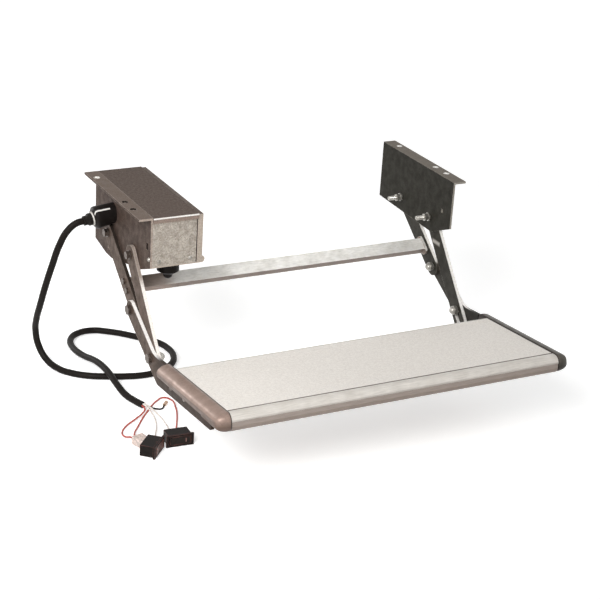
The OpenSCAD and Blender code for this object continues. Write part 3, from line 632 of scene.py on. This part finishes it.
# %% Zone tint helper, for stains and for painted light and shade
def repaint(material, painted):
    # The colour that the dots lie on goes through one more step.
    under_dots = material.node_tree.nodes["dotted"].inputs["A"]
    material.node_tree.links.new(painted(under_dots.links[0].from_socket), under_dots)


# A zone tint lays a stain, a seam, painted shade or a painted highlight over a zone.
def tint_zone(material, zone, tone, border=1.0, amount=1.0, faces=None):
    tree = material.node_tree
    low, high = (Vector(corner) * mm for corner in zone)
    mask = add_group(tree, zones, {"Middle": (low + high) / 2, "Half size": (high - low) / 2,
                                   "Border": border * mm, "Amount": amount})["Mask"]
    if faces:
        mask = maths(tree, "MULTIPLY", mask, add_group(tree, facing)[faces])
    repaint(material, lambda colour: tint(tree, colour, mask, tone))


# %% Helpers that give a finish to pieces
dressed = set()


def dress(material, *names):
    dressed.update(names)
    for name in names:
        for place in nodes[name].material_slots:
            place.material = material
    print(material.name, "on", ", ".join(names))


def cover(material, *pieces):
    for piece in pieces:
        piece.data.materials.clear()
        piece.data.materials.append(material)
    print(material.name, "on", ", ".join(piece.name for piece in pieces))


# %% [markdown]
# ### Sheet steel of the brackets and arms
# The brackets, arms and side plates are cut from sheet steel and zinc plated. The left ones look warm and
# brownish in the picture. The right ones are the same steel, given darker tones as painted shade. Most are
# bright along their cut edges, partly bare metal where the coat has gone and partly a painted highlight.
# One steel for all would miss that, so each gets a coat with a small metal share, two near tones and a tone
# of its own for the cut edges, and the brackets a lighter tone on their flange tops as painted light from
# above. Zones do the rest: painted shade on the walls of the slot and of the left front screw holes, a
# near-white painted light on the walls of the other screw holes, painted shade on the parts of the arm
# edges that lie in the shade, and a lighter patch on the right front arm.

# %% Brackets
shaded_slot_walls = (-247, -104, -58), (-240, -96, -37)
shaded_front_holes = (-260.5, -76, -2.7), (-248.5, 0, 1)
lit_rear_holes = (-260.5, 0, -2.7), (-248.5, 76, 1)
lit_right_holes = (248.5, -76, -2.7), (260.5, 76, 1)

# The cut tone is partly bare metal and partly a painted highlight; the up tone is painted light on top.
left_steel = coat("left_bracket_steel", (82, 68, 60), (63, 51, 45), scale=70, rough=(0.50, 0.66),
                  metal=0.15, edge_mark=(176, 163, 152), wear=0.7, grain=620, bump=0.14, cut=(160, 146, 136),
                  up=(104, 91, 82), sheen=0.12, speck=0.30)
# Painted shade in the slot and in the front holes; near-white painted light on the rear hole walls.
tint_zone(left_steel, shaded_slot_walls, (34, 27, 23), border=0.5, faces="Cut")
tint_zone(left_steel, shaded_front_holes, (30, 25, 22), border=0.2, faces="Wall")
tint_zone(left_steel, lit_rear_holes, (238, 235, 230), border=0.2, faces="Wall")
dress(left_steel, "left_bracket")
# The right bracket's darker tones are painted shade; its up tone is painted light on the flange top.
right_shaded_steel = coat("right_bracket_steel", (47, 45, 39), (38, 36, 31), scale=70, rough=(0.52, 0.68),
                   metal=0.10, edge_mark=(160, 155, 145), wear=0.7, grain=620, bump=0.14, cut=(150, 145, 136),
                   up=(112, 105, 96), sheen=0.10, speck=0.26)
# Near-white painted light on the walls of the right screw holes.
tint_zone(right_shaded_steel, lit_right_holes, (246, 244, 240), border=0.2, faces="Wall")
dress(right_shaded_steel, "right_bracket")

# %% Arms
# The shaded tones paint the right arms darker, as painted shade.
warm_tones, shaded_tones = ((96, 81, 72), (72, 60, 52)), ((54, 51, 45), (42, 40, 35))
# Painted shade on the left front arm's upper cut edge and the right rear arm's lower end; a lighter patch on
# the right front arm.
arm_shade_and_patch = {
    "left_front_arm": dict(zone=((-254, -90, -118), (-242, -20, -40)), tone=(142, 128, 118), border=8,
                           faces="Cut"),
    "right_rear_arm": dict(zone=((242, -100, -175), (254, -56, -140)), tone=(64, 60, 54), border=4,
                           faces="Cut"),
    "right_front_arm": dict(zone=((244, -84, -112), (247, -64, -107)), tone=(196, 191, 184), border=2.5,
                            amount=0.75)}
# The cut tone is painted shade on the left rear arm, partly bare metal and partly a painted highlight on the
# others.
for name, tones, worn_tone, cut_tone in [
        ("left_rear_arm", warm_tones, (140, 127, 117), (46, 39, 34)),
        ("left_front_arm", warm_tones, (214, 205, 196), (232, 226, 219)),
        ("right_rear_arm", shaded_tones, (190, 186, 178), (226, 223, 217)),
        ("right_front_arm", shaded_tones, (190, 186, 178), (232, 229, 224))]:
    steel = coat(name + "_steel", *tones, scale=70, rough=(0.46, 0.62), metal=0.15, edge_mark=worn_tone, wear=0.6,
                 grain=620, bump=0.10, cut=cut_tone, sheen=0.14, speck=0.16)
    if name in arm_shade_and_patch:
        tint_zone(steel, **arm_shade_and_patch[name])
    dress(steel, name)

# %% Side plates, with painted shade on the foot
shaded_foot = (-300, -450, -300), (300, -168, 0)
# The right plate's darker tones are painted shade; the near-white cut tone is partly bare metal, partly a
# painted highlight.
for name, first, second, foot_shade_tone in [
        ("left_side_plate", (88, 73, 64), (67, 55, 47), (56, 44, 37)),
        ("right_side_plate", (54, 51, 45), (44, 41, 36), (36, 34, 30))]:
    steel = coat(name + "_steel", first, second, scale=70, rough=(0.44, 0.60), metal=0.20,
                 edge_mark=(214, 207, 200), wear=0.7, grain=620, bump=0.10, cut=(250, 247, 243), sheen=0.15,
                 speck=0.16)
    # Painted shade on the foot, below the cap.
    tint_zone(steel, shaded_foot, foot_shade_tone, border=17)
    dress(steel, name)

# %% [markdown]
# ### Housing
# The housing is a bent case in the bracket's colour with a dark, matt lid. Its front is hot-dip zinc,
# which shows the crystals that the zinc grows while it sets: flat cells, each with its own tone. A noise
# would be too soft for them. A Voronoi texture is such a pattern of cells, so its cell colour is mixed
# into the zinc.

# %% Case, lid and zinc front
cell_scale, cell_tones = 520, (0.66, 1.18)

dress(coat("case_steel", (96, 83, 75), (78, 67, 60), scale=60, rough=(0.46, 0.62), metal=0.15,
           edge_mark=(170, 158, 148), wear=0.6, grain=620, bump=0.12, front=(176, 164, 152), sheen=0.15,
           speck=0.18), "housing_case")
dress(coat("lid_steel", (92, 80, 73), (80, 69, 62), scale=260, rough=(0.56, 0.70), metal=0.10,
           edge_mark=(160, 148, 138), wear=0.6, grain=700, bump=0.18, front=(142, 126, 116), sheen=0.10,
           speck=0.22), "housing_lid")
zinc = coat("zinc_crystals", (186, 178, 168), (162, 153, 142), scale=90, rough=(0.42, 0.58), metal=0.25,
            edge_mark=(222, 216, 207), wear=0.5, grain=760, bump=0.12, sheen=0.2, speck=0.22)
tree = zinc.node_tree
where = add_node(tree, "TexCoord").outputs["Object"]
cells = add_node(tree, "TexVoronoi", {"Vector": where, "Scale": cell_scale})
grey = add_node(tree, "RGBToBW", {"Color": cells.outputs["Color"]})
crystals = add_node(tree, "MapRange", {"Value": grey.outputs["Val"], "To Min": cell_tones[0],
                                       "To Max": cell_tones[1]})
repaint(zinc, lambda colour: times(tree, colour, crystals.outputs["Result"], "crystals"))
dress(zinc, "housing_front")

# %% [markdown]
# ### Drive inside the housing
# The gearbox is cast metal, the motor a painted can, its clamp a strip of sheet, and the gear and pinion
# are plain machined steel. They hardly show, so nothing is modelled on them: their finishes are simple
# coats with a coarser or finer grain.

# %% Drive
dress(coat("cast_gearbox", (150, 148, 144), (124, 122, 118), scale=60, rough=(0.5, 0.7), metal=0.4,
           edge_mark=(190, 188, 184), wear=0.5, grain=260, bump=0.3), "gearbox")
dress(coat("motor_can", (58, 58, 60), (44, 44, 46), scale=50, rough=(0.35, 0.5), metal=0.2,
           edge_mark=(120, 118, 114), wear=0.5, grain=700, bump=0.05), "motor")
dress(coat("clamp_strip", (170, 168, 162), (140, 138, 132), scale=60, rough=(0.35, 0.5), metal=0.7,
           edge_mark=(210, 208, 202), wear=0.5, grain=700, bump=0.05), "motor_clamp")
dress(coat("gear_metal", (146, 142, 136), (108, 104, 98), scale=60, rough=(0.3, 0.45), metal=0.8,
           edge_mark=(206, 202, 196), wear=0.6, grain=900, bump=0.05), "drive_gear", "drive_pinion")

# %% [markdown]
# ### Crossbar
# The crossbar is a bright drawn tube, the lightest metal on the linkage. Drawn metal carries fine lines
# along its length. A round grain would look cast, so the grain is stretched along X, the bar's axis. Its
# lower faces are painted darker as painted shade, and its left end, below the housing, is painted a dull
# brown as painted shade.

# %% Crossbar finish
shaded_left_end = (-300, -300, -300), (-187, 300, 0)
# The under tone is painted shade on the bar's lower faces.
drawn_bar = coat("drawn_bar", (232, 230, 225), (210, 207, 200), scale=60, rough=(0.34, 0.48), metal=0.25,
                 edge_mark=(240, 239, 234), wear=0.7, grain=700, bump=0.12, stretch=(0.15, 1, 1),
                 shaded_under=(132, 118, 108))
# Painted shade on the left end, below the housing.
tint_zone(drawn_bar, shaded_left_end, (168, 149, 138), border=17, amount=0.8)
dress(drawn_bar, "crossbar")

# %% [markdown]
# ### Bolts, nuts and screws
# All fasteners are zinc plated, bright and a little cloudy, and so is the thread made above. The heads on
# the outside of the left plates are given a dark brown, as the plates have. They could have a second
# material, but bolts on both sides share one mesh, so a tint over the left outside picks them out.

# %% Fastener finish
left_outside = (-300, -500, -400), (-247, 300, 100)
bolt_zinc = coat("bolt_zinc", (186, 183, 176), (136, 132, 125), scale=140, rough=(0.22, 0.38), metal=0.75,
                 edge_mark=(236, 234, 229), wear=0.6, grain=1200, bump=0.04)
tint_zone(bolt_zinc, left_outside, (86, 72, 64), amount=0.85)
dress(bolt_zinc, "pivot_bolts", "pivot_nuts", "crossbar_bolts", "knee_bolts", "knee_nuts", "toe_bolts",
      "toe_nuts", "side_screws", "housing_screws", "bracket_rivet")
cover(bolt_zinc, rear_thread, front_thread)
# The rolled lid edge is painted near white, a painted highlight.
cover(coat("lid_edge_highlight", (246, 244, 240), (224, 220, 214), scale=120, rough=(0.25, 0.40), metal=0.30,
           bump=0.05), lid_edge)

# %% [markdown]
# ### Tread
# The tread is an anodised aluminium board with a fine sandy grain on top, so that shoes don't slip. Sand
# could be scattered as small meshes, but a strong bump does it at this size. The groove between the grain
# and the round nose is painted dark in a narrow zone, as painted shade, and the underside of the nose is
# painted darker as painted shade. The caps on its ends are moulded and have a metallic coat, brownish on
# the left and dark grey on the right in this light, with a dark seam around them and painted shade on
# their undersides.

# %% Tread finishes
# Painted shade in the groove behind the nose.
groove_shade = (-260, -385.2, -170), (260, -382.7, -161)
# The under tone is painted shade on the underside of the nose.
board = coat("tread_anodised", (212, 207, 200), (200, 194, 186), scale=30, rough=(0.40, 0.52), metal=0.25,
             edge_mark=(240, 238, 233), wear=0.5, grain=900, bump=0.08, stretch=(0.06, 1, 1),
             shaded_under=(142, 129, 120))
grip = coat("grip_grain", (236, 231, 224), (224, 218, 211), scale=300, rough=(0.50, 0.66), metal=0.05,
            edge_mark=(240, 238, 233), wear=0.3, grain=1100, bump=0.45, sheen=0.15)
for finish, name in [(board, "tread_board"), (grip, "grip_panel")]:
    tint_zone(finish, groove_shade, (96, 82, 73), border=0.3, amount=0.9)
    dress(finish, name)

# %% End cap finishes
seam_half = 6.2
# Both under tones and the right cap's darker tones are painted shade; the seam zone is a dark joint.
for side, seam_x, first, second, shaded_under_tone in [
        ("left", -246, (153, 132, 121), (137, 117, 107), (104, 87, 78)),
        ("right", 246, (84, 79, 72), (72, 68, 62), (52, 49, 44))]:
    moulded = coat(side + "_cap_coat", first, second, scale=90, rough=(0.36, 0.48), metal=0.35, grain=1600,
                   bump=0.04, shaded_under=shaded_under_tone)
    tint_zone(moulded, ((seam_x - seam_half, -500, -400), (seam_x + seam_half, 300, 100)), (44, 36, 32),
          border=0.4, amount=0.85)
    dress(moulded, side + "_end_cap")
    cover(moulded, caps[side])

# %% [markdown]
# ### Rubber
# The boot, the gland, the buffer and the cable cover are black rubber, matt with a soft sheen. A gloss
# would give the boot a grey rim, which the picture doesn't show. A narrow near-white streak along the top
# of the boot is a painted highlight, and the sealing ring is a pale rubber.

# %% Rubber
boot_highlight = (-277, 17.4, -37), (-254, 19.2, -22)
dress(coat("black_rubber", (22, 19, 17), (30, 26, 24), scale=90, rough=(0.36, 0.50), grain=1100, bump=0.10,
           sheen=0.12), "stop_buffer", "cable_gland")
boot_rubber = coat("boot_rubber", (22, 19, 17), (28, 24, 22), scale=60, rough=(0.34, 0.46), grain=1100,
                   bump=0.05, sheen=0.12)
# A painted highlight: a near-white streak along the top of the boot.
tint_zone(boot_rubber, boot_highlight, (240, 237, 232), border=0.5, amount=0.95)
dress(boot_rubber, "cable_boot")
cover(coat("seal_ring_rubber", (226, 222, 216), (204, 198, 190), scale=200, rough=(0.40, 0.52), grain=1500,
           bump=0.05), seal)

# %% [markdown]
# ### Covers of the cable and wires
# The wires have red and white covers, and the cable and the spare wire black ones. A curve takes a
# material as a mesh does, so each colour is one coat, shared by its cords.

# %% Cord covers
cable_cover = coat("cable_cover", (24, 20, 18), (32, 28, 25), scale=120, rough=(0.40, 0.55), grain=1400,
                   bump=0.06, sheen=0.08)
red_cover = coat("red_wire_cover", (166, 66, 56), (186, 92, 80), scale=200, rough=(0.40, 0.52), grain=1800)
white_cover = coat("white_wire_cover", (230, 223, 217), (206, 197, 190), scale=200, rough=(0.40, 0.52),
                   grain=1800)
for name, skin, slot in [
        ("supply_cable", cable_cover, "cable_black"), ("red_link_wire", red_cover, "red_cover"),
        ("red_wire", red_cover, "red_cover"), ("white_wire", white_cover, "white_cover"),
        ("white_link_wire", white_cover, "white_cover"), ("spare_wire", cable_cover, "cable_black")]:
    cover(skin, cords[name])

# %% [markdown]
# ### Switches, connector and terminal
# The switches are hard black plastic with a finer surface than rubber, and the left rocker looks reddish
# in the picture. The pinkish tone on the edges of the switch bodies and rockers is a painted highlight,
# where the light grazes them. The connector is a pale plastic that lets a little light in. A glass would let
# all of it through, so only about a third of the coat is see-through. The terminal is a bright, coppery
# metal.

# %% Plastic and terminal
shell_clearness = 0.35
# The pinkish edge tone on these plastics is a painted highlight.
dress(coat("switch_plastic", (22, 18, 16), (30, 25, 23), scale=110, rough=(0.40, 0.52), edge_mark=(150, 100, 92),
           wear=0.5, grain=1500, bump=0.05, sheen=0.10), "left_switch_body", "right_switch_body")
dress(coat("rocker_plastic", (30, 25, 23), (40, 34, 31), scale=110, rough=(0.32, 0.44), edge_mark=(130, 84, 76),
           wear=0.35, grain=1500, bump=0.04, sheen=0.10), "right_switch_rocker")
dress(coat("left_rocker_plastic", (132, 92, 84), (58, 42, 38), scale=320, rough=(0.32, 0.44),
           edge_mark=(150, 104, 95), wear=0.35, grain=1500, bump=0.04, sheen=0.10), "left_switch_rocker")
cover(coat("moulded_mark", (150, 112, 104), (132, 96, 88), scale=300, rough=(0.40, 0.52), grain=1800,
           bump=0.05), left_mark, right_mark)
dress(coat("terminal_metal", (206, 176, 150), (180, 150, 126), scale=200, rough=(0.25, 0.40), metal=0.8,
           edge_mark=(236, 216, 196), wear=0.6, grain=1500, bump=0.05), "wire_terminal")
shell = coat("clear_shell", (240, 226, 218), (218, 198, 189), scale=120, rough=(0.22, 0.34),
             edge_mark=(244, 238, 232), wear=0.5, grain=1500, bump=0.04)
feed(shell.node_tree.nodes["Principled BSDF"], {"Transmission Weight": shell_clearness})
dress(shell, "connector_shell")

# %% [markdown]
# ## Finish
# A last look finds any node that still shows without a finish.

# %% Nodes without a finish
bare = [name for name, node in nodes.items() if name not in dressed and not node.hide_render]
print("nodes with no finish:", bare)
bpy.context.view_layer.update()
